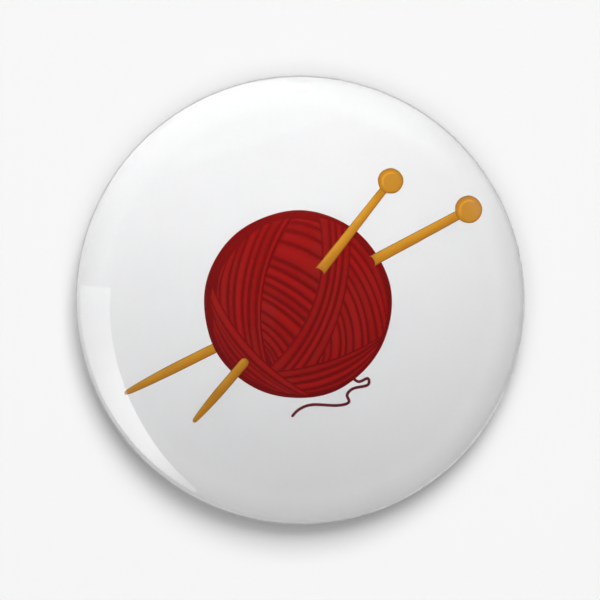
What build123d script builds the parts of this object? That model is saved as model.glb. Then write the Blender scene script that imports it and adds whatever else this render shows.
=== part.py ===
from build123d import *
import math
import os

# A round pin-back button badge: a domed tinplate shell wrapped in a printed paper disc and
# a clear film disc, closed behind by a tinplate back plate that holds a sprung wire pin.
#
# Frame: the badge hangs upright. Its face looks along -Y, +Z is up, and the origin is the
# centre of the rear rim's plane, which lies against the cloth. Millimetres throughout.

# Face and rim, on the film's outside
BADGE_DIAMETER = 58.0
RIM_HEIGHT = 2.4  # from the rear plane up to where the rim is widest
RIM_RADIUS = 2.6  # section radius of the roll in front of the widest ring
SHOULDER_RADIUS = 9.0  # section radius between the rim's roll and the face
SHOULDER_SLOPE = 40.0  # degrees, where the rim's roll meets the shoulder
FACE_SLOPE = 11.0  # degrees, where the shoulder meets the domed face
CURL_RADIUS = 1.8  # section radius of the rear edge
LIP_RADIUS = 25.9  # where the shell's rolled-in lip ends
TUCK_RADIUS = 26.9  # how far out the folded film and paper reach behind the lip

# Layers, from the outside in
FILM = 0.10
INK_ROOM = 0.08  # between the film and the paper, where the print lies
PAPER = 0.12
SHELL = 0.25
PLATE = 0.30
FIT = 0.02  # between parts that touch

# Back plate
PLATE_RECESS = 3.1  # from the rear plane to the plate's flat middle
PLATE_WALL_HEIGHT = 2.4  # top of the plate's outer wall
STEP_RADIUS = 22.8  # edge of the flat middle
STEP_WIDTH = 1.2
STEP_BEND = 0.6
BEAD_RADIUS = 11.9  # middle of the stiffening bead
BEAD_WIDTH = 1.5
BEAD_DEPTH = 0.25
BEAD_SLOPE_WIDTH = 0.4
BEAD_FOOT_BEND = 0.5
BEAD_CREST_BEND = 0.2

# Wire pin
WIRE = 0.9
LEG_Z = -1.0  # height of the fixed leg
STEM_Z = 3.0  # height of the moving stem
STEM_LIFT = 1.85  # how much nearer the cloth the stem lies than the leg
BEND_X = -17.5  # where the legs end and the spring bend begins
LEG_END_X = 8.0
POINT_X = 20.8
POINT_LENGTH = 4.0
POINT_TIP = 0.12
POINT_ROUNDING = 0.096
LEG_CHAMFER = 0.12
JOIN_GAP = 0.03  # between the wire's fixed and moving halves, in the middle of the bend

# Hook and straps, lanced out of the plate
HOOK_X = 15.5
HOOK_WIDTH = 4.0
HOOK_BORE = 0.60  # inner radius of the curl round the stem's axis
HOOK_OVERHANG = 35.0  # degrees from straight out, where the curl stops
HOOK_BEND = 0.3
HOOK_BLANK = 2.2  # how far the hook's window reaches below the stem
STRAP_XS = (-9.0, 3.0)
STRAP_WIDTH = 2.5
STRAP_BORE = 0.50
STRAP_BEND = 0.2
ROOT_LENGTH = 0.6  # of each strip, inside the plate
SLIT = 0.15  # cut beside each lanced strip

# The section's arcs, worked out from the outside inwards
RADIUS = BADGE_DIAMETER / 2
SHOULDER_TILT = math.radians(SHOULDER_SLOPE)
FACE_TILT = math.radians(FACE_SLOPE)
RIM_CENTRE = (RADIUS - RIM_RADIUS, RIM_HEIGHT)
SHOULDER_CENTRE = (
    RIM_CENTRE[0] - (SHOULDER_RADIUS - RIM_RADIUS) * math.sin(SHOULDER_TILT),
    RIM_CENTRE[1] - (SHOULDER_RADIUS - RIM_RADIUS) * math.cos(SHOULDER_TILT),
)
DOME_RADIUS = SHOULDER_RADIUS + SHOULDER_CENTRE[0] / math.sin(FACE_TILT)
DOME_CENTRE = (0, SHOULDER_CENTRE[1] - (DOME_RADIUS - SHOULDER_RADIUS) * math.cos(FACE_TILT))
FOLD_HEIGHT = FILM + INK_ROOM + PAPER + FIT + SHELL / 2  # middle of the shell's lip

# The wire's places
LEG_Y = WIRE / 2 + FIT - PLATE_RECESS
STEM_Y = LEG_Y + STEM_LIFT
BEND_RADIUS = math.hypot(STEM_LIFT, STEM_Z - LEG_Z) / 2

# Sections of the round parts: x is the distance from the badge's axis, y the height
SECTION = Plane(origin=(0, 0, 0), x_dir=(1, 0, 0), z_dir=(0, 0, -1))

# The wire's own plane: x along the legs, y from the leg to the stem, centred in the bend
WIRE_PLANE = Plane(
    origin=(BEND_X, (LEG_Y + STEM_Y) / 2, (LEG_Z + STEM_Z) / 2),
    x_dir=(1, 0, 0),
    z_dir=(0, LEG_Z - STEM_Z, STEM_LIFT),
)


def wrapped_line(inset):
    """One side of a layer, this far inside the film's outside, from the axis to the lip."""
    CenterArc(DOME_CENTRE, DOME_RADIUS - inset, 90 - FACE_SLOPE, FACE_SLOPE)
    shoulder = SHOULDER_SLOPE - FACE_SLOPE
    CenterArc(SHOULDER_CENTRE, SHOULDER_RADIUS - inset, 90 - SHOULDER_SLOPE, shoulder)
    CenterArc(RIM_CENTRE, RIM_RADIUS - inset, 0, 90 - SHOULDER_SLOPE)
    Line((RADIUS - inset, RIM_HEIGHT), (RADIUS - inset, CURL_RADIUS))
    CenterArc((RADIUS - CURL_RADIUS, CURL_RADIUS), CURL_RADIUS - inset, -90, 90)
    Line((RADIUS - CURL_RADIUS, inset), (LIP_RADIUS, inset))


def fold_line(inset):
    """The same side, folded round the shell's lip and tucked in behind it."""
    CenterArc((LIP_RADIUS, FOLD_HEIGHT), FOLD_HEIGHT - inset, 90, 180)
    Line((LIP_RADIUS, 2 * FOLD_HEIGHT - inset), (TUCK_RADIUS, 2 * FOLD_HEIGHT - inset))


def centre_line(outside, inside):
    """The short line that closes a layer on the badge's axis."""
    apex = DOME_CENTRE[1] + DOME_RADIUS
    Line((0, apex - outside), (0, apex - inside))


def folded_disc(outside, thickness):
    """A disc of sheet wrapped over the face, round the rim and in behind the lip."""
    inside = outside + thickness
    with BuildPart() as disc:
        with BuildSketch(SECTION):
            with BuildLine():
                for inset in (outside, inside):
                    wrapped_line(inset)
                    fold_line(inset)
                centre_line(outside, inside)
                Line(
                    (TUCK_RADIUS, 2 * FOLD_HEIGHT - outside),
                    (TUCK_RADIUS, 2 * FOLD_HEIGHT - inside),
                )
            make_face()
        revolve(axis=Axis.Y)
    return disc


def domed_shell():
    """The tinplate shell that carries the paper and the film."""
    outside = FILM + INK_ROOM + PAPER + FIT
    with BuildPart() as shell:
        with BuildSketch(SECTION):
            with BuildLine():
                wrapped_line(outside)
                wrapped_line(outside + SHELL)
                centre_line(outside, outside + SHELL)
                CenterArc((LIP_RADIUS, FOLD_HEIGHT), SHELL / 2, 90, 180)
            make_face()
        revolve(axis=Axis.Y)
    return shell


def plate_section():
    """Half of the plate's section: flat middle with a bead, step, seat and outer wall."""
    seat = 2 * FOLD_HEIGHT + FIT
    wall = RADIUS - FILM - INK_ROOM - PAPER - SHELL - 2 * FIT
    bead_in = BEAD_RADIUS - BEAD_WIDTH / 2
    bead_out = BEAD_RADIUS + BEAD_WIDTH / 2
    points = [
        (0, PLATE_RECESS),
        (bead_in, PLATE_RECESS),
        (bead_in + BEAD_SLOPE_WIDTH, PLATE_RECESS + BEAD_DEPTH),
        (bead_out - BEAD_SLOPE_WIDTH, PLATE_RECESS + BEAD_DEPTH),
        (bead_out, PLATE_RECESS),
        (STEP_RADIUS, PLATE_RECESS),
        (STEP_RADIUS + STEP_WIDTH, seat),
        (wall, seat),
        (wall, PLATE_WALL_HEIGHT),
    ]
    bead_bends = [BEAD_FOOT_BEND, BEAD_CREST_BEND, BEAD_CREST_BEND, BEAD_FOOT_BEND]
    rear_bends = bead_bends + [STEP_BEND, STEP_BEND, CURL_RADIUS - seat]
    with BuildSketch(SECTION) as half:
        with BuildLine():
            FilletPolyline(*points, radius=rear_bends)
            offset(amount=PLATE, side=Side.LEFT, closed=True)
        make_face()
    return half


def strip_side(bore, bend, depth, reach, side):
    """One face of a lanced strip, from beside the wire down and round into the plate."""
    foot = bore + PLATE + bend
    turn = foot - reach
    Line((side * reach, 0), (side * reach, bend - depth))
    CenterArc((side * foot, bend - depth), turn, 180 if side > 0 else 270, 90)
    root = bend - depth - turn
    Line((side * foot, root), (side * (foot + ROOT_LENGTH), root))


def root_end(bore, bend, depth, side):
    """The short line that closes a strip's root inside the plate."""
    root = side * (bore + PLATE + bend + ROOT_LENGTH)
    Line((root, -depth), (root, -depth - PLATE))


def hook_section():
    """A tongue that rises above the stem and curls over it, open below and outwards."""
    depth = STEM_Y + PLATE_RECESS
    curl = 90 - HOOK_OVERHANG
    lip = HOOK_BORE + PLATE / 2
    place = Plane(origin=(HOOK_X, STEM_Y, STEM_Z), x_dir=(0, 0, 1), z_dir=(-1, 0, 0))
    with BuildSketch(place) as section:
        with BuildLine():
            for reach in (HOOK_BORE, HOOK_BORE + PLATE):
                CenterArc((0, 0), reach, 0, curl)
                strip_side(HOOK_BORE, HOOK_BEND, depth, reach, 1)
            lip_centre = (lip * math.cos(math.radians(curl)), lip * math.sin(math.radians(curl)))
            CenterArc(lip_centre, PLATE / 2, curl, 180)
            root_end(HOOK_BORE, HOOK_BEND, depth, 1)
        make_face()
    return section


def strap_section(strap_x):
    """A bridge over the fixed leg, rooted in the plate at both ends."""
    depth = LEG_Y + PLATE_RECESS
    place = Plane(origin=(strap_x, LEG_Y, LEG_Z), x_dir=(0, 0, 1), z_dir=(-1, 0, 0))
    with BuildSketch(place) as section:
        with BuildLine():
            for reach in (STRAP_BORE, STRAP_BORE + PLATE):
                CenterArc((0, 0), reach, 0, 180)
                for side in (1, -1):
                    strip_side(STRAP_BORE, STRAP_BEND, depth, reach, side)
            for side in (1, -1):
                root_end(STRAP_BORE, STRAP_BEND, depth, side)
        make_face()
    return section


def windows():
    """What lancing the hook and the straps leaves open in the plate's flat middle."""
    middle = Plane(origin=(0, -PLATE / 2 - PLATE_RECESS, 0), x_dir=(1, 0, 0), z_dir=(0, -1, 0))
    hook_top = HOOK_BORE + PLATE + HOOK_BEND + SLIT
    strap_half = STRAP_BORE + PLATE + STRAP_BEND + SLIT
    with BuildSketch(middle) as cuts:
        with Locations((HOOK_X, STEM_Z + (hook_top - HOOK_BLANK) / 2)):
            Rectangle(HOOK_WIDTH + 2 * SLIT, hook_top + HOOK_BLANK)
        with Locations([(strap_x, LEG_Z) for strap_x in STRAP_XS]):
            Rectangle(STRAP_WIDTH + 2 * SLIT, 2 * strap_half)
    return cuts


def back_pan():
    """The back plate, with its hook for the point and its two straps for the fixed leg."""
    with BuildPart() as plate:
        revolve(plate_section().sketch, axis=Axis.Y)
        extrude(windows().sketch, amount=PLATE, both=True, mode=Mode.SUBTRACT)
        extrude(hook_section().sketch, amount=HOOK_WIDTH / 2, both=True)
        for strap_x in STRAP_XS:
            extrude(strap_section(strap_x).sketch, amount=STRAP_WIDTH / 2, both=True)
    return plate


def leg_wire():
    """The wire's fixed leg and the near half of its spring bend."""
    gap = math.degrees(JOIN_GAP / BEND_RADIUS)
    with BuildPart() as wire:
        with BuildLine(WIRE_PLANE):
            Line((LEG_END_X - BEND_X, -BEND_RADIUS), (0, -BEND_RADIUS))
            CenterArc((0, 0), BEND_RADIUS, 180 + gap, 90 - gap)
        with BuildSketch(Plane(origin=(LEG_END_X, LEG_Y, LEG_Z), z_dir=(-1, 0, 0))):
            Circle(WIRE / 2)
        sweep()
        chamfer(wire.faces().sort_by(Axis.X)[-1].edges(), LEG_CHAMFER)
    return wire


def stem_wire():
    """The far half of the bend, the moving stem and its ground point."""
    point_base = POINT_X - POINT_LENGTH
    with BuildPart() as wire:
        with BuildLine(WIRE_PLANE):
            Line((point_base - BEND_X, BEND_RADIUS), (0, BEND_RADIUS))
            CenterArc((0, 0), BEND_RADIUS, 90, 90)
        with BuildSketch(Plane(origin=(point_base, STEM_Y, STEM_Z), z_dir=(-1, 0, 0))):
            Circle(WIRE / 2)
        sweep()
        with Locations(Location((point_base, STEM_Y, STEM_Z), (0, 90, 0))):
            Cone(WIRE / 2, POINT_TIP, POINT_LENGTH, align=(Align.CENTER, Align.CENTER, Align.MIN))
        fillet(wire.faces().sort_by(Axis.X)[-1].edges(), POINT_ROUNDING)
    return wire


os.makedirs("parts", exist_ok=True)

clear_film = folded_disc(0, FILM)
clear_film.part.label = "clear_film"
export_step(clear_film.part, "parts/clear_film.step")

printed_paper = folded_disc(FILM + INK_ROOM, PAPER)
printed_paper.part.label = "printed_paper"
export_step(printed_paper.part, "parts/printed_paper.step")

front_shell = domed_shell()
front_shell.part.label = "front_shell"
export_step(front_shell.part, "parts/front_shell.step")

back_plate = back_pan()
back_plate.part.label = "back_plate"
export_step(back_plate.part, "parts/back_plate.step")

pin_anchor = leg_wire()
pin_anchor.part.label = "pin_anchor"
export_step(pin_anchor.part, "parts/pin_anchor.step")

pin_stem = stem_wire()
pin_stem.part.label = "pin_stem"
export_step(pin_stem.part, "parts/pin_stem.step")
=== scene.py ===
import math

import bpy
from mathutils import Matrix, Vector


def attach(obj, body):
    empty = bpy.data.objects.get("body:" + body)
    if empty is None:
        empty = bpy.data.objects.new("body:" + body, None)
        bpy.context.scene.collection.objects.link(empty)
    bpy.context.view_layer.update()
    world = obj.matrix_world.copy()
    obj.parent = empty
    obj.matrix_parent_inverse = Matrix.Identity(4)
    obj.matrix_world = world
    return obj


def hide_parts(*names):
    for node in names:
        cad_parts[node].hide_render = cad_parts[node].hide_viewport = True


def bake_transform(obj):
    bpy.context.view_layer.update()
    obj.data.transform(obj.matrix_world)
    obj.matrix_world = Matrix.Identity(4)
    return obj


# A round pin-back button badge, standing upright: its face looks along -Y and +Z is up.
# Sizes are millimetres here and become metres where a mesh or a light is placed.
MM = 0.001

# The badge's section, on the film's outside, as the CAD model has it
BADGE_RADIUS = 29.0
RIM_HEIGHT = 2.4  # from the rear plane up to the widest ring
RIM_RADIUS = 2.6
SHOULDER_RADIUS = 9.0
SHOULDER_TILT = math.radians(40)
FACE_TILT = math.radians(11)
CURL_RADIUS = 1.8
LIP_RADIUS = 25.9
TUCK_RADIUS = 26.9
FILM = 0.10
PAPER_INSET = 0.18
PAPER = 0.12
FOLD_HEIGHT = 0.445
WALL_FOOT = 0.3  # below the widest ring, where the straight wall ends

RIM_CENTRE = (BADGE_RADIUS - RIM_RADIUS, RIM_HEIGHT)
SHOULDER_CENTRE = (
    RIM_CENTRE[0] - (SHOULDER_RADIUS - RIM_RADIUS) * math.sin(SHOULDER_TILT),
    RIM_CENTRE[1] - (SHOULDER_RADIUS - RIM_RADIUS) * math.cos(SHOULDER_TILT),
)
DOME_RADIUS = SHOULDER_RADIUS + SHOULDER_CENTRE[0] / math.sin(FACE_TILT)
DOME_CENTRE = (0, SHOULDER_CENTRE[1] - (DOME_RADIUS - SHOULDER_RADIUS) * math.cos(FACE_TILT))

# How finely the wrapped layers are modelled: round the axis, and along each arc
TURN_STEPS = 256
DOME_STEPS = 24
SHOULDER_STEPS = 16
RIM_STEPS = 14
CURL_STEPS = 12
LIP_STEPS = 8

# Vertices this close, in metres, become one
LATHE_WELD = 1e-6
METAL_WELD = 1e-7

# Edges that bend less than this, in degrees, are shaded smooth
SHEET_SMOOTH = 35
WIRE_SMOOTH = 40

INK = 0.002  # mm, how thick the print lies on the paper
PRINT_SCALE = 0.98  # the drawing's millimetres on the paper

PLEATS = 34  # folds of film and paper round the rear edge
BLACK = (0, 0, 0, 1)
WHITE = (1, 1, 1, 1)


# -------- modelling helpers


def deselect():
    """Leaves no object selected."""
    bpy.ops.object.select_all(action="DESELECT")


def work_on(piece):
    """Makes one piece the only selected and active one."""
    deselect()
    piece.select_set(True)
    bpy.context.view_layer.objects.active = piece


def apply_modifiers(piece):
    """Turns a piece's modifiers into its mesh."""
    work_on(piece)
    for modifier in list(piece.modifiers):
        bpy.ops.object.modifier_apply(modifier=modifier.name)


def join(name, pieces):
    """Joins pieces into one with this name."""
    work_on(pieces[0])
    for piece in pieces:
        piece.select_set(True)
    bpy.ops.object.join()
    pieces[0].name = name
    return pieces[0]


def arc(centre, radius, start, end, count):
    """Points on a section arc, angles in radians from outwards towards the face."""
    angles = [start + (end - start) * i / count for i in range(count + 1)]
    return [(centre[0] + radius * math.cos(a), centre[1] + radius * math.sin(a)) for a in angles]


def wrapped_outline(inset):
    """(radius, height) points of a layer's side, from the axis round to behind the lip."""
    quarter = math.pi / 2
    wall = BADGE_RADIUS - inset
    face_end, shoulder_end = quarter - FACE_TILT, quarter - SHOULDER_TILT
    points = arc(DOME_CENTRE, DOME_RADIUS - inset, quarter, face_end, DOME_STEPS)
    shoulder_radius = SHOULDER_RADIUS - inset
    points += arc(SHOULDER_CENTRE, shoulder_radius, face_end, shoulder_end, SHOULDER_STEPS)[1:]
    points += arc(RIM_CENTRE, RIM_RADIUS - inset, shoulder_end, 0, RIM_STEPS)[1:]
    points += [(wall, RIM_HEIGHT - WALL_FOOT)]
    curl = (BADGE_RADIUS - CURL_RADIUS, CURL_RADIUS)
    points += arc(curl, CURL_RADIUS - inset, 0, -quarter, CURL_STEPS)
    points += [((curl[0] + LIP_RADIUS) / 2, inset)]
    lip = (LIP_RADIUS, FOLD_HEIGHT)
    points += arc(lip, FOLD_HEIGHT - inset, -quarter, -3 * quarter, LIP_STEPS)
    points += [(TUCK_RADIUS, 2 * FOLD_HEIGHT - inset)]
    return points


def face_height(radius, inset):
    """Height of a layer's side above the rear plane, this far from the axis."""
    if radius < (DOME_RADIUS - inset) * math.sin(FACE_TILT):
        return DOME_CENTRE[1] + math.sqrt((DOME_RADIUS - inset) ** 2 - radius**2)
    out = radius - SHOULDER_CENTRE[0]
    return SHOULDER_CENTRE[1] + math.sqrt((SHOULDER_RADIUS - inset) ** 2 - out**2)


def lathe(name, outline):
    """A closed outline of (radius, height) points, turned round the badge's axis."""
    deselect()
    bpy.ops.mesh.primitive_circle_add(vertices=len(outline), radius=MM)
    piece = bpy.context.object
    piece.name = name
    for vertex, (radius, height) in zip(piece.data.vertices, outline):
        vertex.co = (radius * MM, -height * MM, 0)
    bpy.ops.object.mode_set(mode="EDIT")
    bpy.ops.mesh.select_all(action="SELECT")
    bpy.ops.mesh.spin(steps=TURN_STEPS, angle=math.tau, center=(0, 0, 0), axis=(0, 1, 0))
    bpy.ops.mesh.select_all(action="SELECT")
    bpy.ops.mesh.remove_doubles(threshold=LATHE_WELD)
    bpy.ops.mesh.normals_make_consistent(inside=False)
    bpy.ops.object.mode_set(mode="OBJECT")
    bpy.ops.object.shade_smooth()
    return piece


# -------- the print's modelling


def mix_points(first, second, share):
    """The point this share of the way from the first to the second."""
    return tuple(a + (b - a) * share for a, b in zip(first, second))


def through(points, share):
    """The point this share of the way along a smooth (Catmull-Rom) line through some points."""
    runs = len(points) - 1
    run = min(max(int(share * runs), 0), runs - 1)
    t = share * runs - run
    before = points[max(run - 1, 0)]
    start, end = points[run], points[run + 1]
    after = points[min(run + 2, runs)]

    def smooth(a, b, c, d):
        square, cube = 2 * a - 5 * b + 4 * c - d, 3 * (b - c) + d - a
        return 0.5 * (2 * b + (c - a) * t + square * t * t + cube * t**3)

    return tuple(smooth(*parts) for parts in zip(before, start, end, after))


def across(start, end):
    """A unit step square to the way from start to end, on its right-hand side."""
    run, rise = end[0] - start[0], end[1] - start[1]
    length = math.hypot(run, rise)
    return (rise / length, -run / length)


def ink_patch(name, columns, rows, place, level, tone=0.5, label=None):
    """A thin film of ink on the paper's face, level mm above it, outlined by place(u, t)."""
    deselect()
    bpy.ops.mesh.primitive_grid_add(x_subdivisions=columns, y_subdivisions=rows, size=1)
    piece = bpy.context.object
    piece.name = name
    mesh = piece.data
    labels = []
    for vertex in mesh.vertices:
        u, t = vertex.co.x + 0.5, vertex.co.y + 0.5
        x, z = (PRINT_SCALE * part for part in place(u, t))
        height = face_height(math.hypot(x, z), PAPER_INSET - level)
        vertex.co = (x * MM, -height * MM, z * MM)
        labels.append(label(u, t) if label else (u, t))
    for loop in mesh.loops:
        mesh.uv_layers[0].data[loop.index].uv = labels[loop.vertex_index]
    bpy.ops.object.mode_set(mode="EDIT")
    bpy.ops.mesh.select_all(action="SELECT")
    if mesh.polygons[0].normal.y > 0:
        bpy.ops.mesh.flip_normals()
    bpy.ops.object.mode_set(mode="OBJECT")
    body = piece.modifiers.new("thickness", "SOLIDIFY")
    body.thickness = INK * MM
    body.offset = -1
    apply_modifiers(piece)
    tones = mesh.attributes.new("tone", "FLOAT", "POINT")
    tones.data.foreach_set("value", [tone] * len(mesh.vertices))
    bpy.ops.object.shade_smooth()
    return piece


def disc_patch(name, centre, radius, level, rings, wobble=0.0):
    """A round spot of ink, its outline a little uneven, labelled by place inside it."""

    def inside(u, t):
        a, b = 2 * u - 1, 2 * t - 1
        return (a * math.sqrt(1 - b * b / 2), b * math.sqrt(1 - a * a / 2))

    def place(u, t):
        a, b = inside(u, t)
        turn = math.atan2(b, a)
        reach = radius * (1 + wobble * (math.sin(5 * turn + 1) + 0.6 * math.sin(9 * turn)))
        return (centre[0] + a * reach, centre[1] + b * reach)

    def label(u, t):
        a, b = inside(u, t)
        return (0.5 + a / 2, 0.5 + b / 2)

    return ink_patch(name, rings, rings, place, level, label=label)


TANGENT_STEP = 0.002  # the share of a stroke over which its direction is taken


def ribbon_patch(name, line, width, level, rows, columns, end_depth=0.0, start_depth=0.0):
    """A stroke of ink along line(t), width(t) wide; its two ends bulge or are cut hollow."""

    def place(u, t):
        side = 2 * u - 1
        here = line(t)
        side_step = across(line(max(t - TANGENT_STEP, 0)), line(min(t + TANGENT_STEP, 1)))
        forward = (-side_step[1], side_step[0])
        hollow = math.sqrt(max(1 - side * side, 0)) - 1
        push = hollow * (end_depth * t**6 - start_depth * (1 - t) ** 12)
        reach = side * width(t) / 2
        return (
            here[0] + side_step[0] * reach + forward[0] * push,
            here[1] + side_step[1] * reach + forward[1] * push,
        )

    return ink_patch(name, columns, rows, place, level)


# -------- material helpers


def srgb(red, green, blue):
    """A screen colour of 0 to 255 as the linear colour that a shader takes."""

    def linear(value):
        value /= 255
        return value / 12.92 if value <= 0.04045 else ((value + 0.055) / 1.055) ** 2.4

    return (linear(red), linear(green), linear(blue), 1)


def grey(level):
    """A linear grey."""
    return (level, level, level, 1)


def new_material(name):
    """An empty node material, with its nodes, links and output."""
    material = bpy.data.materials.new(name)
    material.use_nodes = True
    nodes = material.node_tree.nodes
    nodes.clear()
    output = nodes.new("ShaderNodeOutputMaterial")
    return material, nodes, material.node_tree.links, output


def paint(piece, material):
    """Gives a piece its one material."""
    piece.data.materials.clear()
    piece.data.materials.append(material)


def grain_group():
    """Shared surface grain: fine streaks along X, and sparse slanting marks."""
    group = bpy.data.node_groups.new("surface_grain", "ShaderNodeTree")
    face = group.interface
    face.new_socket("Vector", in_out="INPUT", socket_type="NodeSocketVector")
    face.new_socket("Streak Scale", in_out="INPUT", socket_type="NodeSocketFloat")
    face.new_socket("Mark Scale", in_out="INPUT", socket_type="NodeSocketFloat")
    face.new_socket("Streaks", in_out="OUTPUT", socket_type="NodeSocketFloat")
    face.new_socket("Marks", in_out="OUTPUT", socket_type="NodeSocketFloat")
    nodes, links = group.nodes, group.links
    source = nodes.new("NodeGroupInput")
    result = nodes.new("NodeGroupOutput")
    stretch = nodes.new("ShaderNodeMapping")
    stretch.inputs["Scale"].default_value = (0.03, 1, 1)
    streaks = nodes.new("ShaderNodeTexNoise")
    streaks.inputs["Detail"].default_value = 4
    links.new(source.outputs["Vector"], stretch.inputs["Vector"])
    links.new(stretch.outputs[0], streaks.inputs["Vector"])
    links.new(source.outputs["Streak Scale"], streaks.inputs["Scale"])
    links.new(streaks.outputs["Fac"], result.inputs["Streaks"])
    slant = nodes.new("ShaderNodeMapping")
    slant.vector_type = "TEXTURE"
    slant.inputs["Rotation"].default_value = (0, 0.9, 0)
    slant.inputs["Scale"].default_value = (18, 1, 1)
    marks = nodes.new("ShaderNodeTexNoise")
    marks.inputs["Detail"].default_value = 1
    links.new(source.outputs["Vector"], slant.inputs["Vector"])
    links.new(slant.outputs[0], marks.inputs["Vector"])
    links.new(source.outputs["Mark Scale"], marks.inputs["Scale"])
    cut = map_range(nodes, links, marks.outputs["Fac"], 0.68, 0.74)
    links.new(cut, result.inputs["Marks"])
    return group


def pleat_group():
    """Shared folds of wrapped sheet: radial pleats that fade in round the rear edge."""
    group = bpy.data.node_groups.new("rear_pleats", "ShaderNodeTree")
    face = group.interface
    face.new_socket("Vector", in_out="INPUT", socket_type="NodeSocketVector")
    face.new_socket("Count", in_out="INPUT", socket_type="NodeSocketFloat")
    face.new_socket("Height", in_out="OUTPUT", socket_type="NodeSocketFloat")
    nodes, links = group.nodes, group.links
    source = nodes.new("NodeGroupInput")
    result = nodes.new("NodeGroupOutput")
    split = nodes.new("ShaderNodeSeparateXYZ")
    links.new(source.outputs["Vector"], split.inputs[0])
    turn = math_node(nodes, links, "ARCTAN2", split.outputs["X"], split.outputs["Z"])
    uneven = nodes.new("ShaderNodeTexNoise")
    uneven.inputs["Scale"].default_value = 90
    links.new(source.outputs["Vector"], uneven.inputs["Vector"])
    sway = math_node(nodes, links, "MULTIPLY", uneven.outputs["Fac"], 9)
    wave = math_node(nodes, links, "MULTIPLY", turn, source.outputs["Count"])
    wave = math_node(nodes, links, "SINE", math_node(nodes, links, "ADD", wave, sway))
    sharp = math_node(nodes, links, "POWER", math_node(nodes, links, "ABSOLUTE", wave), 0.5)
    rear = map_range(nodes, links, split.outputs["Y"], -0.9 * MM, -0.05 * MM, smooth=True)
    height = math_node(nodes, links, "MULTIPLY", sharp, rear)
    links.new(height, result.inputs["Height"])
    return group


def use_group(nodes, links, group, **values):
    """A shared effect placed in a material, on the object's own place."""
    node = nodes.new("ShaderNodeGroup")
    node.node_tree = group
    coordinate = nodes.new("ShaderNodeTexCoord")
    links.new(coordinate.outputs["Object"], node.inputs["Vector"])
    for name, value in values.items():
        node.inputs[name.replace("_", " ")].default_value = value
    return node


def bump(nodes, links, height, distance):
    """A normal that leans with this height; the distance is in millimetres."""
    node = nodes.new("ShaderNodeBump")
    node.inputs["Strength"].default_value = 1
    node.inputs["Distance"].default_value = distance * MM
    links.new(height, node.inputs["Height"])
    return node.outputs["Normal"]


def film_material(pleats):
    """Clear glossy film: what is behind it shows, and its gloss grows towards its edges."""
    material, nodes, links, output = new_material("clear_film")
    facing = nodes.new("ShaderNodeLayerWeight")
    facing.inputs["Blend"].default_value = 0.5
    power = math_node(nodes, links, "POWER", facing.outputs["Facing"], 5)
    share = math_node(nodes, links, "MULTIPLY_ADD", power, 0.96, 0.04)
    clear = nodes.new("ShaderNodeBsdfTransparent")
    clear.inputs["Color"].default_value = grey(0.99)
    gloss = nodes.new("ShaderNodeBsdfGlossy")
    handling = noise(nodes, links, scale=120, detail=3)
    roughness = math_node(nodes, links, "MULTIPLY_ADD", handling, 0.05, 0.01)
    links.new(roughness, gloss.inputs["Roughness"])
    folds = use_group(nodes, links, pleats, Count=PLEATS)
    wave = noise(nodes, links, scale=70, detail=1)
    wave = math_node(nodes, links, "MULTIPLY", wave, 0.25)
    surface = math_node(nodes, links, "ADD", folds.outputs["Height"], wave)
    links.new(bump(nodes, links, surface, distance=0.02), gloss.inputs["Normal"])
    mix = nodes.new("ShaderNodeMixShader")
    links.new(share, mix.inputs["Fac"])
    links.new(clear.outputs[0], mix.inputs[1])
    links.new(gloss.outputs[0], mix.inputs[2])
    links.new(mix.outputs[0], output.inputs["Surface"])
    return material


def paper_material(pleats):
    """White coated paper: faint cloudy fibre, and pleats where it folds behind, with painted
    shade in the pleats' hollows.
    """
    material, nodes, links, output = new_material("white_paper")
    shader = nodes.new("ShaderNodeBsdfPrincipled")
    fibre = noise(nodes, links, scale=2600, detail=4)
    cloud = noise(nodes, links, scale=150, detail=3)
    mottle = math_node(nodes, links, "MULTIPLY", fibre, 0.5)
    mottle = math_node(nodes, links, "MULTIPLY_ADD", cloud, 0.5, mottle)
    colour = ramp(
        nodes,
        links,
        mottle,
        [
            (0.3, (0.85, 0.852, 0.855, 1)),
            (0.5, (0.866, 0.868, 0.87, 1)),
            (0.7, (0.88, 0.88, 0.883, 1)),
        ],
    )
    folds = use_group(nodes, links, pleats, Count=PLEATS)
    # Painted shade: the paper's colour darkens towards grey in the hollows of the rear pleats
    painted_crease_shade = math_node(nodes, links, "MULTIPLY_ADD", folds.outputs["Height"], -0.14, 0.14)
    rear = math_node(nodes, links, "GREATER_THAN", folds.outputs["Height"], 0.02)
    painted_crease_shade = math_node(nodes, links, "MULTIPLY", painted_crease_shade, rear)
    colour = mix_colours(nodes, links, painted_crease_shade, colour, grey(0.45))
    links.new(colour, shader.inputs["Base Color"])
    shader.inputs["Roughness"].default_value = 0.6
    shader.inputs["Specular IOR Level"].default_value = 0.2
    surface = math_node(nodes, links, "MULTIPLY_ADD", fibre, 0.02, folds.outputs["Height"])
    links.new(bump(nodes, links, surface, distance=0.05), shader.inputs["Normal"])
    links.new(shader.outputs[0], output.inputs["Surface"])
    return material


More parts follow.
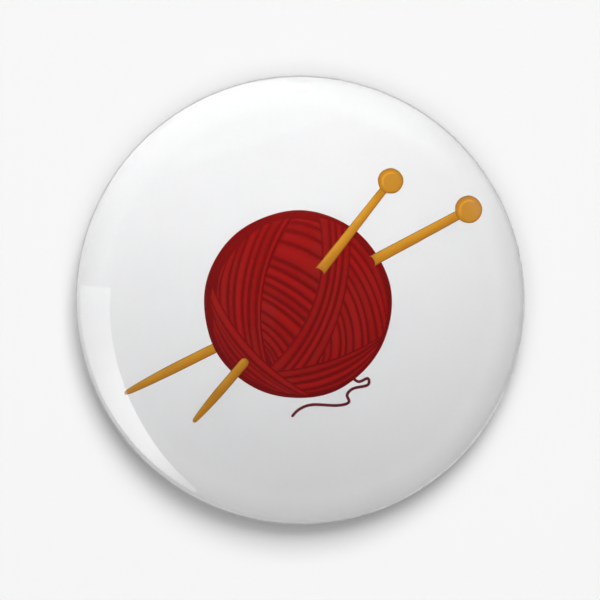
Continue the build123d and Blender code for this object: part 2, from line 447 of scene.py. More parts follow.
def tinplate_material(grain):
    """Bright tinned sheet: rolling grain, hair scratches and a faint cloudy bloom."""
    material, nodes, links, output = new_material("tinplate")
    shader = nodes.new("ShaderNodeBsdfPrincipled")
    surface = use_group(nodes, links, grain, Streak_Scale=9000, Mark_Scale=2600)
    bloom = noise(nodes, links, scale=130, detail=4)
    colour = ramp(
        nodes,
        links,
        bloom,
        [(0.3, (0.66, 0.66, 0.655, 1)), (0.5, (0.76, 0.755, 0.745, 1)), (0.7, grey(0.8))],
    )
    streaked = math_node(nodes, links, "MULTIPLY", surface.outputs["Streaks"], 0.25)
    colour = mix_colours(nodes, links, streaked, colour, (0.6, 0.6, 0.59, 1))
    links.new(colour, shader.inputs["Base Color"])
    shader.inputs["Metallic"].default_value = 1
    rough = math_node(nodes, links, "MULTIPLY_ADD", bloom, 0.18, 0.15)
    rough = math_node(nodes, links, "MULTIPLY_ADD", surface.outputs["Marks"], 0.12, rough)
    links.new(rough, shader.inputs["Roughness"])
    streaks, marks = surface.outputs["Streaks"], surface.outputs["Marks"]
    relief = math_node(nodes, links, "SUBTRACT", streaks, marks)
    links.new(bump(nodes, links, relief, distance=0.0025), shader.inputs["Normal"])
    links.new(shader.outputs[0], output.inputs["Surface"])
    return material


def wire_material(grain):
    """Nickel-bright drawn steel wire: streaks along it, rubbed a little duller in places."""
    material, nodes, links, output = new_material("pin_wire")
    shader = nodes.new("ShaderNodeBsdfPrincipled")
    surface = use_group(nodes, links, grain, Streak_Scale=14000, Mark_Scale=3000)
    rubbed = noise(nodes, links, scale=420, detail=3, stretch=(5, 1, 1))
    colour = ramp(
        nodes, links, rubbed, [(0.35, (0.62, 0.61, 0.59, 1)), (0.6, (0.78, 0.77, 0.75, 1))]
    )
    links.new(colour, shader.inputs["Base Color"])
    shader.inputs["Metallic"].default_value = 1
    rough = math_node(nodes, links, "MULTIPLY_ADD", rubbed, -0.15, 0.3)
    links.new(rough, shader.inputs["Roughness"])
    grooves = bump(nodes, links, surface.outputs["Streaks"], distance=0.003)
    links.new(grooves, shader.inputs["Normal"])
    links.new(shader.outputs[0], output.inputs["Surface"])
    return material


def ramp(nodes, links, value, stops):
    """A colour that runs through stops of (place, colour) as the value grows."""
    node = nodes.new("ShaderNodeValToRGB")
    bar = node.color_ramp
    bar.elements[0].position, bar.elements[0].color = stops[0]
    bar.elements[1].position, bar.elements[1].color = stops[-1]
    for place, colour in stops[1:-1]:
        bar.elements.new(place).color = colour
    links.new(value, node.inputs["Fac"])
    return node.outputs["Color"]


def mix_colours(nodes, links, share, first, second, way="MIX"):
    """Two colours mixed by a share; each of the three is a socket or a value."""
    node = nodes.new("ShaderNodeMix")
    node.data_type = "RGBA"
    node.blend_type = way
    sockets = (node.inputs[0], node.inputs[6], node.inputs[7])  # the factor and the two colours
    for socket, item in zip(sockets, (share, first, second)):
        if isinstance(item, bpy.types.NodeSocket):
            links.new(item, socket)
        else:
            socket.default_value = item
    return node.outputs[2]


def math_node(nodes, links, way, *items):
    """One step of arithmetic on sockets or numbers."""
    node = nodes.new("ShaderNodeMath")
    node.operation = way
    for socket, item in zip(node.inputs, items):
        if isinstance(item, bpy.types.NodeSocket):
            links.new(item, socket)
        else:
            socket.default_value = item
    return node.outputs[0]


def map_range(nodes, links, value, low, high, first=0.0, smooth=False):
    """A value that runs from the first value to 1 while another runs from low to high."""
    node = nodes.new("ShaderNodeMapRange")
    if smooth:
        node.interpolation_type = "SMOOTHSTEP"
    node.inputs["From Min"].default_value = low
    node.inputs["From Max"].default_value = high
    node.inputs["To Min"].default_value = first
    links.new(value, node.inputs["Value"])
    return node.outputs["Result"]


def object_height(nodes, links, span, offset):
    """The object's own height, counted in spans, plus an offset."""
    coordinate = nodes.new("ShaderNodeTexCoord")
    split = nodes.new("ShaderNodeSeparateXYZ")
    links.new(coordinate.outputs["Object"], split.inputs[0])
    return math_node(nodes, links, "MULTIPLY_ADD", split.outputs["Z"], 1 / span, offset)


def noise(nodes, links, scale, detail, stretch=(1, 1, 1), turn=(0, 0, 0)):
    """Noise on the object's own place, drawn out along turned axes; its value, 0 to 1."""
    coordinate = nodes.new("ShaderNodeTexCoord")
    mapping = nodes.new("ShaderNodeMapping")
    mapping.vector_type = "TEXTURE"
    mapping.inputs["Scale"].default_value = stretch
    mapping.inputs["Rotation"].default_value = turn
    links.new(coordinate.outputs["Object"], mapping.inputs["Vector"])
    texture = nodes.new("ShaderNodeTexNoise")
    texture.inputs["Scale"].default_value = scale
    texture.inputs["Detail"].default_value = detail
    links.new(mapping.outputs[0], texture.inputs["Vector"])
    return texture.outputs["Fac"]


def label_sockets(nodes, links):
    """The two parts of a stroke's own label: across it and along it."""
    label = nodes.new("ShaderNodeUVMap")
    label.uv_map = "UVMap"
    split = nodes.new("ShaderNodeSeparateXYZ")
    links.new(label.outputs[0], split.inputs[0])
    return split.outputs["X"], split.outputs["Y"]


def ink_shader(nodes, links, output, colour):
    """Matt ink of this colour."""
    shader = nodes.new("ShaderNodeBsdfPrincipled")
    shader.inputs["Roughness"].default_value = 0.6
    shader.inputs["Specular IOR Level"].default_value = 0.15
    links.new(colour, shader.inputs["Base Color"])
    links.new(shader.outputs[0], output.inputs["Surface"])


def yarn_material():
    """Painted strands: mid red, browner in places, darker along both edges."""
    material, nodes, links, output = new_material("yarn_ink")
    side, _ = label_sockets(nodes, links)
    body = ramp(
        nodes,
        links,
        side,
        [
            (0.0, srgb(138, 8, 6)),
            (0.09, srgb(157, 15, 13)),
            (0.36, srgb(167, 20, 17)),
            (0.64, srgb(162, 19, 16)),
            (0.91, srgb(155, 14, 12)),
            (1.0, srgb(136, 8, 6)),
        ],
    )
    tone = nodes.new("ShaderNodeAttribute")
    tone.attribute_name = "tone"
    tinted = mix_colours(nodes, links, tone.outputs["Fac"], srgb(234, 224, 222), WHITE)
    body = mix_colours(nodes, links, 1.0, body, tinted, "MULTIPLY")
    blot = noise(nodes, links, scale=300, detail=3, stretch=(1, 1, 2.5), turn=(0, 0.25, 0))
    blot = ramp(nodes, links, blot, [(0.46, BLACK), (0.62, WHITE)])
    blot = math_node(nodes, links, "MULTIPLY", blot, 0.5)
    ink_shader(nodes, links, output, mix_colours(nodes, links, blot, body, srgb(150, 29, 24)))
    return material


def yarn_shade_material():
    """The dark red between and behind the strands, a little lighter at the top."""
    material, nodes, links, output = new_material("yarn_shade_ink")
    colour = ramp(
        nodes,
        links,
        object_height(nodes, links, span=2 * BALL * MM, offset=0.5),
        [
            (0.0, srgb(122, 7, 8)),
            (0.6, srgb(128, 6, 4)),
            (0.86, srgb(136, 8, 6)),
            (0.97, srgb(144, 13, 11)),
        ],
    )
    blot = noise(nodes, links, scale=300, detail=3)
    blot = math_node(nodes, links, "MULTIPLY", blot, 0.35)
    ink_shader(nodes, links, output, mix_colours(nodes, links, blot, colour, srgb(110, 8, 9)))
    return material


def needle_material():
    """Painted wood: ochre, lit along one edge, brown at both outlines; painted shade makes it
    duller lower down.
    """
    material, nodes, links, output = new_material("needle_ink")
    side, _ = label_sockets(nodes, links)
    body = ramp(
        nodes,
        links,
        side,
        [
            (0.0, srgb(152, 108, 44)),
            (0.12, srgb(224, 163, 52)),
            (0.34, srgb(220, 156, 46)),
            (0.6, srgb(209, 144, 36)),
            (0.86, srgb(196, 129, 32)),
            (1.0, srgb(136, 92, 36)),
        ],
    )
    streaks = noise(nodes, links, scale=480, detail=3, stretch=(1, 1, 4), turn=(0, 0.9, 0))
    streaks = ramp(nodes, links, streaks, [(0.42, BLACK), (0.66, WHITE)])
    streaks = math_node(nodes, links, "MULTIPLY", streaks, 0.5)
    body = mix_colours(nodes, links, streaks, body, srgb(184, 118, 30))
    # Painted shade: the needles' ink darkens towards the bottom of the face, as if less light
    # fell there
    height = object_height(nodes, links, span=NEEDLE_RISE * MM, offset=0.5)
    painted_height_shade = ramp(nodes, links, height, [(0.1, (0.86, 0.86, 0.84, 1)), (0.9, WHITE)])
    ink_shader(nodes, links, output, mix_colours(nodes, links, 1.0, body, painted_height_shade, "MULTIPLY"))
    return material


def head_material():
    """Painted knobs: ochre, with a paler crescent inside their upper left."""
    material, nodes, links, output = new_material("needle_head_ink")
    side, up = label_sockets(nodes, links)

    def distance(x, y):
        run = math_node(nodes, links, "SUBTRACT", side, x)
        rise = math_node(nodes, links, "SUBTRACT", up, y)
        run = math_node(nodes, links, "POWER", run, 2)
        rise = math_node(nodes, links, "POWER", rise, 2)
        return math_node(nodes, links, "SQRT", math_node(nodes, links, "ADD", run, rise))

    body = ramp(
        nodes,
        links,
        distance(0.5, 0.5),
        [
            (0.3, srgb(203, 143, 46)),
            (0.42, srgb(200, 136, 34)),
            (0.47, srgb(186, 122, 30)),
            (0.5, srgb(146, 96, 34)),
        ],
    )
    ring = ramp(
        nodes,
        links,
        distance(0.54, 0.46),
        [(0.3, BLACK), (0.345, WHITE), (0.37, WHITE), (0.42, BLACK)],
    )
    slant = math_node(nodes, links, "SUBTRACT", up, side)
    slant = ramp(nodes, links, slant, [(0.0, BLACK), (0.25, WHITE)])
    share = math_node(nodes, links, "MULTIPLY", ring, slant)
    share = math_node(nodes, links, "MULTIPLY", share, 0.9)
    ink_shader(nodes, links, output, mix_colours(nodes, links, share, body, srgb(232, 164, 52)))
    return material


def tail_material():
    """The loose end's ink: wine red, darker along its edges."""
    material, nodes, links, output = new_material("tail_ink")
    side, _ = label_sockets(nodes, links)
    body = ramp(
        nodes,
        links,
        side,
        [
            (0.0, srgb(92, 26, 36)),
            (0.35, srgb(112, 32, 42)),
            (0.65, srgb(104, 30, 42)),
            (1.0, srgb(84, 24, 36)),
        ],
    )
    ink_shader(nodes, links, output, body)
    return material


# -------- the print


BALL = 12.15  # mm, the printed ball's radius
BALL_CENTRE = (-0.3, -0.58)
YARN_GAP = 0.35  # mm of dark ink between two strands
THINNEST = 0.05  # mm, the narrowest that a strand gets
# The needles' painted shade fades out upwards over this height
NEEDLE_RISE = 30  # mm, the height over which the needles' ink grows paler

# Each bundle of strands, in ball radii from the ball's centre: the line that its strands
# start on, the line that they end on, how far the first and last strand bow out to their
# right, the strands' shares of the bundle's width, and its height level.
BUNDLES = {
    "middle": (
        [(-0.05, 0.93), (-0.25, 0.55), (-0.37, 0.2), (-0.39, -0.15), (-0.34, -0.5)],
        [(0.3, 0.84), (0.3, 0.26), (0.15, -0.16), (-0.06, -0.46), (-0.27, -0.72)],
        (-0.03, -0.02),
        [0.8, 0.9, 1.0, 1.7, 0.9, 1.1, 0.9, 1.0, 0.8, 1.5, 1.2, 0.9, 1.0, 0.8, 0.9],
        1,
    ),
    "right": (
        [(0.56, 0.77), (0.54, 0.55), (0.52, 0.3), (0.46, 0.02), (0.37, -0.22), (0.24, -0.5)],
        [(0.96, 0.0), (0.91, -0.32), (0.74, -0.46), (0.55, -0.56), (0.36, -0.64), (0.16, -0.74)],
        (-0.09, -0.02),
        [1.2, 0.9, 1.0, 1.1, 0.8, 1.2, 1.0, 0.8, 1.3, 0.9, 0.8],
        1,
    ),
    "left": (
        [(-0.8, 0.4), (-0.58, 0.68), (-0.32, 0.86), (-0.07, 0.92)],
        [(-0.82, -0.1), (-0.64, -0.42), (-0.46, -0.62), (-0.28, -0.76)],
        (0.06, 0.2),
        [0.9, 1.2, 1.0, 1.3, 0.9, 1.1, 1.0],
        2,
    ),
    "sash": (
        [(0.22, 0.93), (0.4, 0.87), (0.56, 0.78)],
        [(-0.36, -0.72), (-0.12, -0.76), (0.14, -0.74)],
        (-0.25, -0.13),
        [1.5, 0.8, 0.9, 1.4],
        2,
    ),
    "bottom": (
        [(-0.24, -0.71), (-0.1, -0.86), (0.0, -0.955)],
        [(0.88, -0.34), (0.86, -0.42), (0.82, -0.52)],
        (0.07, 0.13),
        [1.0, 0.8, 1.1, 1.0],
        3,
    ),
    "low_edge": (
        [(-0.88, -0.02), (-0.9, -0.16), (-0.89, -0.3)],
        [(-0.02, -0.95), (-0.16, -0.94), (-0.32, -0.88)],
        (0.14, 0.11),
        [1.0, 0.9, 0.8],
        2,
    ),
    "lower_left": (
        [(-0.91, 0.2), (-0.93, 0.08), (-0.92, -0.04)],
        [(0.13, -0.955), (0.06, -0.965), (-0.02, -0.965)],
        (0.13, 0.13),
        [1.5, 1.0],
        4,
    ),
}

# Heights above the paper, in mm: the lowest ink on it, the ball's base, the step from one
# bundle's level to the next, a strand above its bundle's bed, and the needles in front
LOW_LEVEL = 0.003
BASE_LEVEL = 0.006
LEVEL_STEP = 0.007
STRAND_RISE = 0.003
NEEDLE_LEVEL = 0.042

# How finely the inks are modelled, across and along; discs have one number for both
BED_GRID = (16, 32)
STRAND_GRID = (6, 36)
NEEDLE_GRID = (10, 24)
TAIL_GRID = (4, 120)
BALL_GRID = 56
KNOB_GRID = 20

# The needles: (start, end, width at the start, width at the end) of the upper two, and
# their heads' (centre, radius)
UPPER_NEEDLES = [
    ((2.72, 3.9), (11.75, 15.45), 1.36, 1.0),
    ((9.55, 5.15), (21.95, 11.8), 1.42, 1.2),
]
HEADS = [((11.75, 15.45), 1.66), ((21.95, 11.8), 1.8)]

# The lower two: points from the tip up, the full width and the tip's, the share of the
# length from which they narrow, their height and how far the upper end is rounded
LOWER_NEEDLES = [
    ([(-13.85, -15.85), (-6.85, -7.7)], 1.22, 0.62, 0.5, NEEDLE_LEVEL, 0.6),
    ([(-22.85, -12.2), (-17.0, -9.2), (-9.4, -5.4)], 1.3, 0.6, 0.42, LOW_LEVEL, 0.0),
]
CUT_DEPTH = -0.3  # mm, the hollow where an upper needle leaves the ball
TIP_DEPTH = 0.34  # mm, how far a lower needle's tip is rounded
NARROWING = 1.6  # the power by which the lower needles narrow

# The yarn's loose end
LOOSE_END = [
    (6.3, -9.5), (7.5, -10.55), (8.75, -10.15), (8.75, -11.0), (6.9, -11.45), (6.1, -12.25),
    (6.3, -13.25), (4.8, -13.65), (1.6, -13.55), (-0.1, -14.15), (-1.1, -15.15),
]  # fmt: skip
LOOSE_WIDTH = 0.38
LOOSE_DEPTH = 0.18


def ball_place(point):
    """A point in ball radii as millimetres on the badge's face."""
    return (BALL_CENTRE[0] + BALL * point[0], BALL_CENTRE[1] + BALL * point[1])


def bundle_line(bundle, u, t):
    """The point of a bundle this far across it and this far along its strands."""
    start, end = through(bundle[0], u), through(bundle[1], u)
    bow = bundle[2][0] + (bundle[2][1] - bundle[2][0]) * u
    side = across(start, end)
    push = bow * 4 * t * (1 - t)
    x, z = mix_points(start, end, t)
    return (x + side[0] * push, z + side[1] * push)


def model_bundle(name, bundle):
    """A bundle's strands, and the dark bed that shows between them."""
    level = BASE_LEVEL + LEVEL_STEP * bundle[4]
    shares = bundle[3]
    bed = ink_patch(
        name + "_bed", *BED_GRID, lambda u, t: ball_place(bundle_line(bundle, u, t)), level
    )
    strands = []
    low = 0.0
    for index, share in enumerate(shares):
        high = low + share / sum(shares)

        def place(u, t, low=low, high=high, index=index):
            here, there = bundle_line(bundle, low, t), bundle_line(bundle, high, t)
            pitch = BALL * math.dist(here, there)
            sway = 0.12 * math.sin(5 * t + 2.4 * index)
            gap = min(YARN_GAP * (1 + sway), pitch - THINNEST)
            inset = gap / 2 / pitch
            return ball_place(mix_points(here, there, inset + (1 - 2 * inset) * u))

        tone = 0.5 + 0.5 * math.sin(2.1 * index + len(shares))
        strands.append(ink_patch("strand", *STRAND_GRID, place, level + STRAND_RISE, tone))
        low = high
    return bed, strands


def model_print():
    """The printed picture: a ball of yarn, two knitting needles and the yarn's loose end."""
    beds = [disc_patch("ball_base", BALL_CENTRE, BALL, BASE_LEVEL, BALL_GRID, wobble=0.004)]
    strands = []
    for name, bundle in BUNDLES.items():
        bed, laid = model_bundle(name, bundle)
        beds.append(bed)
        strands += laid
    shade = join("print_yarn_shade", beds)
    paint(shade, yarn_shade_material())
    yarn = join("print_yarn", strands)
    paint(yarn, yarn_material())
    return [shade, yarn, *model_needles(), model_loose_end()]


def model_needles():
    """The two printed needles' four visible lengths, and their heads."""
    columns, rows = NEEDLE_GRID
    shafts = []
    for start, end, first, last in UPPER_NEEDLES:
        shaft = ribbon_patch(
            "shaft",
            lambda t: mix_points(start, end, t),
            lambda t: first + (last - first) * t,
            NEEDLE_LEVEL,
            rows,
            columns,
            start_depth=CUT_DEPTH,
        )
        shafts.append(shaft)
    for points, full, tip, from_share, level, end_depth in LOWER_NEEDLES:

        def width(t):
            ease = max(1 - t - from_share, 0) / (1 - from_share)
            return full - (full - tip) * ease**NARROWING

        shaft = ribbon_patch(
            "shaft",
            lambda t: stroke_line(points, t),
            width,
            level,
            rows,
            columns,
            end_depth=end_depth,
            start_depth=TIP_DEPTH,
        )
        shafts.append(shaft)
    needles = join("print_needles", shafts)
    paint(needles, needle_material())
    knobs = [
        disc_patch("knob", centre, radius, NEEDLE_LEVEL + LEVEL_STEP, KNOB_GRID, wobble=0.008)
        for centre, radius in HEADS
    ]
    knobs = join("print_needle_heads", knobs)
    paint(knobs, head_material())
    return needles, knobs


def stroke_line(points, t):
    """The point this far along a stroke: straight between two points, else smooth."""
    return mix_points(*points, t) if len(points) == 2 else through(points, t)


def model_loose_end():
    """The yarn's loose end, a thin curling line."""
    columns, rows = TAIL_GRID
    tail = ribbon_patch(
        "print_tail",
        lambda t: through(LOOSE_END, t),
        lambda t: LOOSE_WIDTH,
        LOW_LEVEL,
        rows,
        columns,
        end_depth=LOOSE_DEPTH,
    )
    paint(tail, tail_material())
    return tail


# -------- the metal parts

# The wire's places, as in the CAD model
WIRE_RADIUS = 0.45
BEND_CENTRE = (-17.5, -1.705, 1.0)
BEND_RADIUS = 2.20355
BEND_ACROSS = Vector((0, 1.85, 4.0)).normalized()
LEG_END_X = 8.0
LEG_BEVEL = 0.12  # of the fixed leg's cut end
POINT_X = 20.8
POINT_LENGTH = 4.0
BEND_STEPS = 28

# The ground point: (mm back from its tip, the wire's radius there)
POINT_PROFILE = [
    (POINT_LENGTH, WIRE_RADIUS), (3.8, 0.433), (0.3, 0.144), (0.1, 0.127), (0.03, 0.09),
    (0.0, 0.03),
]  # fmt: skip


def model_wire():
    """The whole sprung wire: fixed leg, bend, moving stem and ground point."""
    centre = Vector(BEND_CENTRE)
    leg, stem = centre - BEND_ACROSS * BEND_RADIUS, centre + BEND_ACROSS * BEND_RADIUS
    route = [((LEG_END_X, leg.y, leg.z), WIRE_RADIUS - LEG_BEVEL)]
    for x in (LEG_END_X - LEG_BEVEL, LEG_END_X - 0.3, LEG_END_X - 1, BEND_CENTRE[0] + 1):
        route.append(((x, leg.y, leg.z), WIRE_RADIUS))
    for step in range(BEND_STEPS + 1):
        turn = -math.pi / 2 - math.pi * step / BEND_STEPS
        place = centre + BEND_ACROSS * (BEND_RADIUS * math.sin(turn))
        route.append(((place.x + BEND_RADIUS * math.cos(turn), place.y, place.z), WIRE_RADIUS))
    for x in (BEND_CENTRE[0] + 1, POINT_X - POINT_LENGTH - 1, POINT_X - POINT_LENGTH - 0.2):
        route.append(((x, stem.y, stem.z), WIRE_RADIUS))
    for back, radius in POINT_PROFILE:
        route.append(((POINT_X - back, stem.y, stem.z), radius))
    line = bpy.data.curves.new("wire", "CURVE")
    line.dimensions = "3D"
    line.bevel_depth = MM
    line.bevel_resolution = 9
    line.use_fill_caps = True
    spline = line.splines.new("POLY")
    spline.points.add(len(route) - 1)
    for point, (place, radius) in zip(spline.points, route):
        point.co = (*(c * MM for c in place), 1)
        point.radius = radius
    wire = bpy.data.objects.new("pin_wire", line)
    bpy.context.scene.collection.objects.link(wire)
    work_on(wire)
    bpy.ops.object.convert(target="MESH")
    wire = bpy.context.object
    bpy.ops.object.mode_set(mode="EDIT")
    bpy.ops.mesh.select_all(action="SELECT")
    bpy.ops.mesh.remove_doubles(threshold=METAL_WELD)
    bpy.ops.mesh.normals_make_consistent(inside=False)
    bpy.ops.object.mode_set(mode="OBJECT")
    bpy.ops.object.shade_smooth_by_angle(angle=math.radians(WIRE_SMOOTH))
    return wire


def smooth_copy(name, node):
    """A copy of a CAD part with its triangles joined up and its curves shaded smooth."""
    deselect()
    piece = node.copy()
    piece.data = node.data.copy()
    piece.name = name
    bpy.context.scene.collection.objects.link(piece)
    work_on(piece)
    bpy.ops.object.mode_set(mode="EDIT")
    bpy.ops.mesh.select_all(action="SELECT")
    bpy.ops.mesh.remove_doubles(threshold=METAL_WELD)
    bpy.ops.object.mode_set(mode="OBJECT")
    bpy.ops.object.shade_smooth_by_angle(angle=math.radians(SHEET_SMOOTH))
    even = piece.modifiers.new("even_shading", "WEIGHTED_NORMAL")
    even.keep_sharp = True
    even.weight = 100
    apply_modifiers(piece)
    return piece


# -------- the scene


def polar_place(distance, off_axis, azimuth):
    """A place in front of the badge: degrees off its axis, towards a clock angle from +X."""
    tilt = math.radians(off_axis)
    turn = math.radians(azimuth)
    return (
        distance * math.sin(tilt) * math.cos(turn),
        -distance * math.cos(tilt),
        distance * math.sin(tilt) * math.sin(turn),
    )


AMBIENT = 0.57
AMBIENT_SLOPE = 0.5  # how much brighter it gets behind the badge from level to overhead
GLOSS_FLOOR = 0.03  # the share of that light which gloss finds straight in front
BACKDROP_GREY = 0.94
CENTRE = (0, 0, 0)

# The card behind the badge, the ring of it that the rim mirrors, and the floor
CARD_GREY = 0.1
CARD_SIZE = 0.6
CARD_GAP = 1.5  # mm behind the rear rim
RING_RADIUS = 0.03
RING_SPREAD = 8
RING_SIDES = 96
FLOOR_GREY = 0.6
FLOOR_SIZE = 6
FLOOR_Z = -0.041
FLOOR_LIGHT = 2.9
FLOOR_LIGHT_ANGLE = 40

# Each light: its place and its width and height, in metres, and its power in watts
LIGHTS = {
    "key": (polar_place(0.45, 30, 105), (0.12, 0.12), 0.041),
    "card_light_high": (polar_place(3, 34, 78), (1.6, 1.6), 545),
    "card_light_wide": (polar_place(3, 0, 90), (3.6, 3.6), 545),
    "low_fill": (polar_place(0.5, 80, 280), (0.3, 0.2), 0.4),
    "top_strip": (polar_place(0.5, 74, 90), (0.04, 0.1), 0.1),
    "left_strip": (polar_place(0.5, 82, 123), (0.03, 0.07), 0.015),
    "back_soft": ((-0.25, 0.5, 0.35), (0.4, 0.4), 3.0),
    "back_gloss": ((-0.3, 0.45, 0.3), (0.5, 0.4), 1.3),
}
KEY_AIM = (-0.009, 0, 0.045)
KEY_SPREAD = 15
WIDE_SPREAD = 180

# The softbox: its plane, and its corners' (y, z), low ones first; how its light changes
# from the top down
PANEL_X = -60
PANEL_CORNERS = [(-25, -110), (0, -110), (-70, 4), (0, 4)]
PANEL_DROP = 110
PANEL_LEVELS = [(0.0, 0.28), (0.12, 0.36), (0.3, 0.72), (0.5, 0.9), (0.9, 0.4)]
PANEL_STRENGTH = 5.0

# The camera: the width of the view at the badge, in mm, and the lens
FRAME_WIDTH = 77.5
LENS = 135
SENSOR = 36


def make_world():
    """Even pale light, brighter above than below behind the badge, on a pale backdrop."""
    world = bpy.data.worlds.new("studio")
    bpy.context.scene.world = world
    world.use_nodes = True
    nodes = world.node_tree.nodes
    links = world.node_tree.links
    nodes.clear()
    output = nodes.new("ShaderNodeOutputWorld")
    coordinate = nodes.new("ShaderNodeTexCoord")
    split = nodes.new("ShaderNodeSeparateXYZ")
    links.new(coordinate.outputs["Generated"], split.inputs[0])
    behind = map_range(nodes, links, split.outputs["Y"], 0, 0.5)
    slant = math_node(nodes, links, "MULTIPLY", split.outputs["Z"], behind)
    level = math_node(nodes, links, "MULTIPLY_ADD", slant, AMBIENT_SLOPE, AMBIENT)
    # The camera's side of the room is dark, which only gloss shows
    path = nodes.new("ShaderNodeLightPath")
    front = map_range(
        nodes, links, split.outputs["Y"], -0.95, -0.7, first=GLOSS_FLOOR, smooth=True
    )
    dim = nodes.new("ShaderNodeMix")
    links.new(path.outputs["Is Glossy Ray"], dim.inputs[0])
    dim.inputs[2].default_value = 1
    links.new(front, dim.inputs[3])
    strength = math_node(nodes, links, "MULTIPLY", level, dim.outputs[0])
    lit = nodes.new("ShaderNodeBackground")
    links.new(strength, lit.inputs["Strength"])
    seen = nodes.new("ShaderNodeBackground")
    seen.inputs["Color"].default_value = grey(BACKDROP_GREY)
    mix = nodes.new("ShaderNodeMixShader")
    links.new(path.outputs["Is Camera Ray"], mix.inputs["Fac"])
    links.new(lit.outputs[0], mix.inputs[1])
    links.new(seen.outputs[0], mix.inputs[2])
    links.new(mix.outputs[0], output.inputs["Surface"])


def backdrop_material():
    """Card that its own lights make pale; from behind it is clear."""
    material, nodes, links, output = new_material("backdrop")
    card = nodes.new("ShaderNodeBsdfDiffuse")
    card.inputs["Color"].default_value = grey(CARD_GREY)
    clear = nodes.new("ShaderNodeBsdfTransparent")
    geometry = nodes.new("ShaderNodeNewGeometry")
    mix = nodes.new("ShaderNodeMixShader")
    links.new(geometry.outputs["Backfacing"], mix.inputs["Fac"])
    links.new(card.outputs[0], mix.inputs[1])
    links.new(clear.outputs[0], mix.inputs[2])
    links.new(mix.outputs[0], output.inputs["Surface"])
    return material


def stage_plane(name, size, place, turn, material):
    """A square plane of the stage that only the camera sees."""
    deselect()
    bpy.ops.mesh.primitive_plane_add(size=size, location=place, rotation=turn)
    plane = bpy.context.object
    plane.name = name
    paint(plane, material)
    only_seen_by(plane, camera=True)
    return plane


def light_group(name, light, objects, state):
    """Links a light to some objects only, or keeps it off them."""
    group = bpy.data.collections.new(name)
    light.light_linking.receiver_collection = group
    for item in objects:
        group.objects.link(item)
    for entry in group.collection_objects:
        entry.light_linking.link_state = state


def only_seen_by(item, camera=False, gloss=False):
    """Hides a stage piece from every ray but the camera's or the gloss's."""
    item.visible_camera = camera
    item.visible_glossy = gloss
    item.visible_shadow = False
    item.visible_diffuse = False
    item.visible_transmission = False


def reflected_card(material):
    """The card round the badge, as the film's outermost edge mirrors it."""
    deselect()
    bpy.ops.mesh.primitive_circle_add(
        vertices=RING_SIDES,
        radius=RING_RADIUS,
        location=(0, CARD_GAP * MM, 0),
        rotation=(math.pi / 2, 0, 0),
    )
    ring = bpy.context.object
    ring.name = "backdrop_ring"
    bpy.ops.object.mode_set(mode="EDIT")
    bpy.ops.mesh.select_all(action="SELECT")
    bpy.ops.mesh.extrude_edges_move()
    bpy.ops.transform.resize(value=(RING_SPREAD,) * 3, center_override=(0, CARD_GAP * MM, 0))
    bpy.ops.object.mode_set(mode="OBJECT")
    if ring.data.polygons[0].normal.z < 0:
        ring.data.flip_normals()
    paint(ring, material)
    only_seen_by(ring, gloss=True)
    return ring


def softbox():
    """A tapering lit panel on the badge's left, which only its gloss shows."""
    material, nodes, links, output = new_material("softbox")
    fall = object_height(nodes, links, span=-PANEL_DROP * MM, offset=0)
    level = ramp(nodes, links, fall, [(share, grey(value)) for share, value in PANEL_LEVELS])
    light = nodes.new("ShaderNodeEmission")
    light.inputs["Strength"].default_value = PANEL_STRENGTH
    links.new(level, light.inputs["Color"])
    links.new(light.outputs[0], output.inputs["Surface"])
    deselect()
    bpy.ops.mesh.primitive_plane_add(size=MM)
    panel = bpy.context.object
    panel.name = "softbox"
    for vertex, (y, z) in zip(panel.data.vertices, PANEL_CORNERS):
        vertex.co = (PANEL_X * MM, y * MM, z * MM)
    paint(panel, material)
    only_seen_by(panel, gloss=True)


def area_light(name, aim=CENTRE, only_gloss=False, spread=WIDE_SPREAD):
    """One of the soft lights, turned towards a place. No camera sees it."""
    place, size, power = LIGHTS[name]
    data = bpy.data.lights.new(name, "AREA")
    data.shape = "RECTANGLE"
    data.size, data.size_y = size
    data.energy = power
    data.spread = math.radians(spread)
    light = bpy.data.objects.new(name, data)
    light.location = place
    light.rotation_euler = (Vector(aim) - Vector(place)).to_track_quat("-Z", "Y").to_euler()
    light.visible_camera = False
    light.visible_diffuse = not only_gloss
    light.visible_glossy = only_gloss
    bpy.context.scene.collection.objects.link(light)
    return light


def floor_sun():
    """The floor's own light, straight down, so that it looks even and pale."""
    data = bpy.data.lights.new("floor_light", "SUN")
    data.energy = FLOOR_LIGHT
    data.angle = math.radians(FLOOR_LIGHT_ANGLE)
    light = bpy.data.objects.new("floor_light", data)
    bpy.context.scene.collection.objects.link(light)
    return light


def make_lights(card, ring, floor):
    """Lights for the badge, and others for the card and the floor alone."""
    backdrop = [card, ring, floor]
    key = area_light("key", aim=KEY_AIM, spread=KEY_SPREAD)
    light_group("key_off_card", key, backdrop, "EXCLUDE")
    light_group("card_only_high", area_light("card_light_high"), [card, ring], "INCLUDE")
    light_group("card_only_wide", area_light("card_light_wide"), [card, ring], "INCLUDE")
    light_group("floor_only", floor_sun(), [floor], "INCLUDE")
    light_group("fill_off_card", area_light("low_fill"), backdrop, "EXCLUDE")
    softbox()
    area_light("top_strip", only_gloss=True)
    area_light("left_strip", only_gloss=True)
    light_group("back_off_floor", area_light("back_soft"), [floor], "EXCLUDE")
    area_light("back_gloss", only_gloss=True)


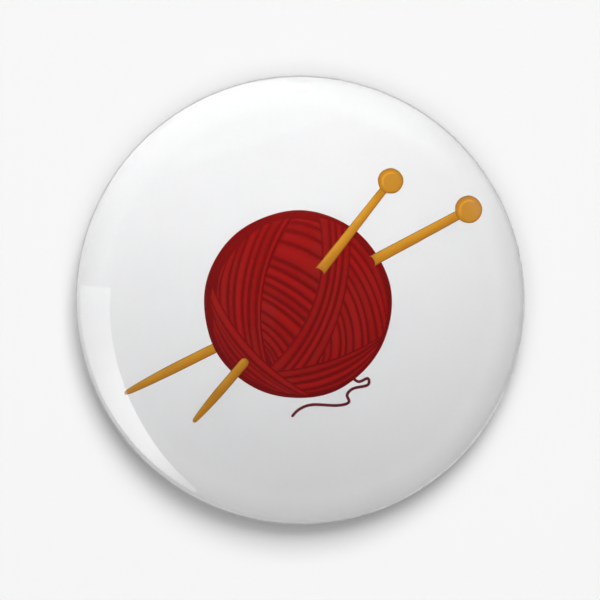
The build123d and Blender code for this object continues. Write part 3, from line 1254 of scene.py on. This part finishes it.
def make_stage():
    """The room, the card and floor, the lights and the camera in front of the face."""
    make_world()
    paper_card = backdrop_material()
    card_place, upright = (0, CARD_GAP * MM, 0), (math.pi / 2, 0, 0)
    card = stage_plane("backdrop", CARD_SIZE, card_place, upright, paper_card)
    ring = reflected_card(paper_card)
    floor_paint, nodes, links, output = new_material("floor")
    shader = nodes.new("ShaderNodeBsdfDiffuse")
    shader.inputs["Color"].default_value = grey(FLOOR_GREY)
    links.new(shader.outputs[0], output.inputs["Surface"])
    floor = stage_plane("floor", FLOOR_SIZE, (0, 0, FLOOR_Z), (0, 0, 0), floor_paint)
    make_lights(card, ring, floor)

    camera_data = bpy.data.cameras.new("camera")
    camera_data.lens = LENS
    camera_data.sensor_width = SENSOR
    camera = bpy.data.objects.new("camera", camera_data)
    distance = FRAME_WIDTH * LENS / SENSOR
    camera.location = (0, -(distance + RIM_HEIGHT) * MM, 0)
    camera.rotation_euler = (math.pi / 2, 0, 0)
    bpy.context.scene.collection.objects.link(camera)
    bpy.context.scene.camera = camera
    bpy.context.scene.view_settings.view_transform = "Standard"


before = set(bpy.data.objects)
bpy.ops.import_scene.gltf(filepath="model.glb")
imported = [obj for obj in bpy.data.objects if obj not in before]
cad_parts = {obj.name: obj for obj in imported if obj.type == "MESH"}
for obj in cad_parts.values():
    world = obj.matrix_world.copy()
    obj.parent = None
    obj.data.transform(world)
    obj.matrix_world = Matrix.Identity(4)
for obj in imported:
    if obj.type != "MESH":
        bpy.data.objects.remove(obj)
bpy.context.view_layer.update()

pleats = pleat_group()
grain = grain_group()

film = lathe("film_wrap", wrapped_outline(0) + wrapped_outline(FILM)[::-1])
paint(film, film_material(pleats))
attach(film, "badge")
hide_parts("clear_film")

paper_back = wrapped_outline(PAPER_INSET + PAPER)[::-1]
paper = lathe("paper_wrap", wrapped_outline(PAPER_INSET) + paper_back)
paint(paper, paper_material(pleats))
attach(paper, "badge")
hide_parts("printed_paper")

for piece in model_print():
    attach(piece, "badge")

metal = tinplate_material(grain)
plate = smooth_copy("back_pan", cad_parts["back_plate"])
paint(plate, metal)
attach(plate, "badge")
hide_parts("back_plate")

shell = smooth_copy("face_shell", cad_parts["front_shell"])
paint(shell, metal)
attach(shell, "badge")
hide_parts("front_shell")

wire = model_wire()
paint(wire, wire_material(grain))
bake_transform(wire)
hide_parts("pin_anchor", "pin_stem")

make_stage()
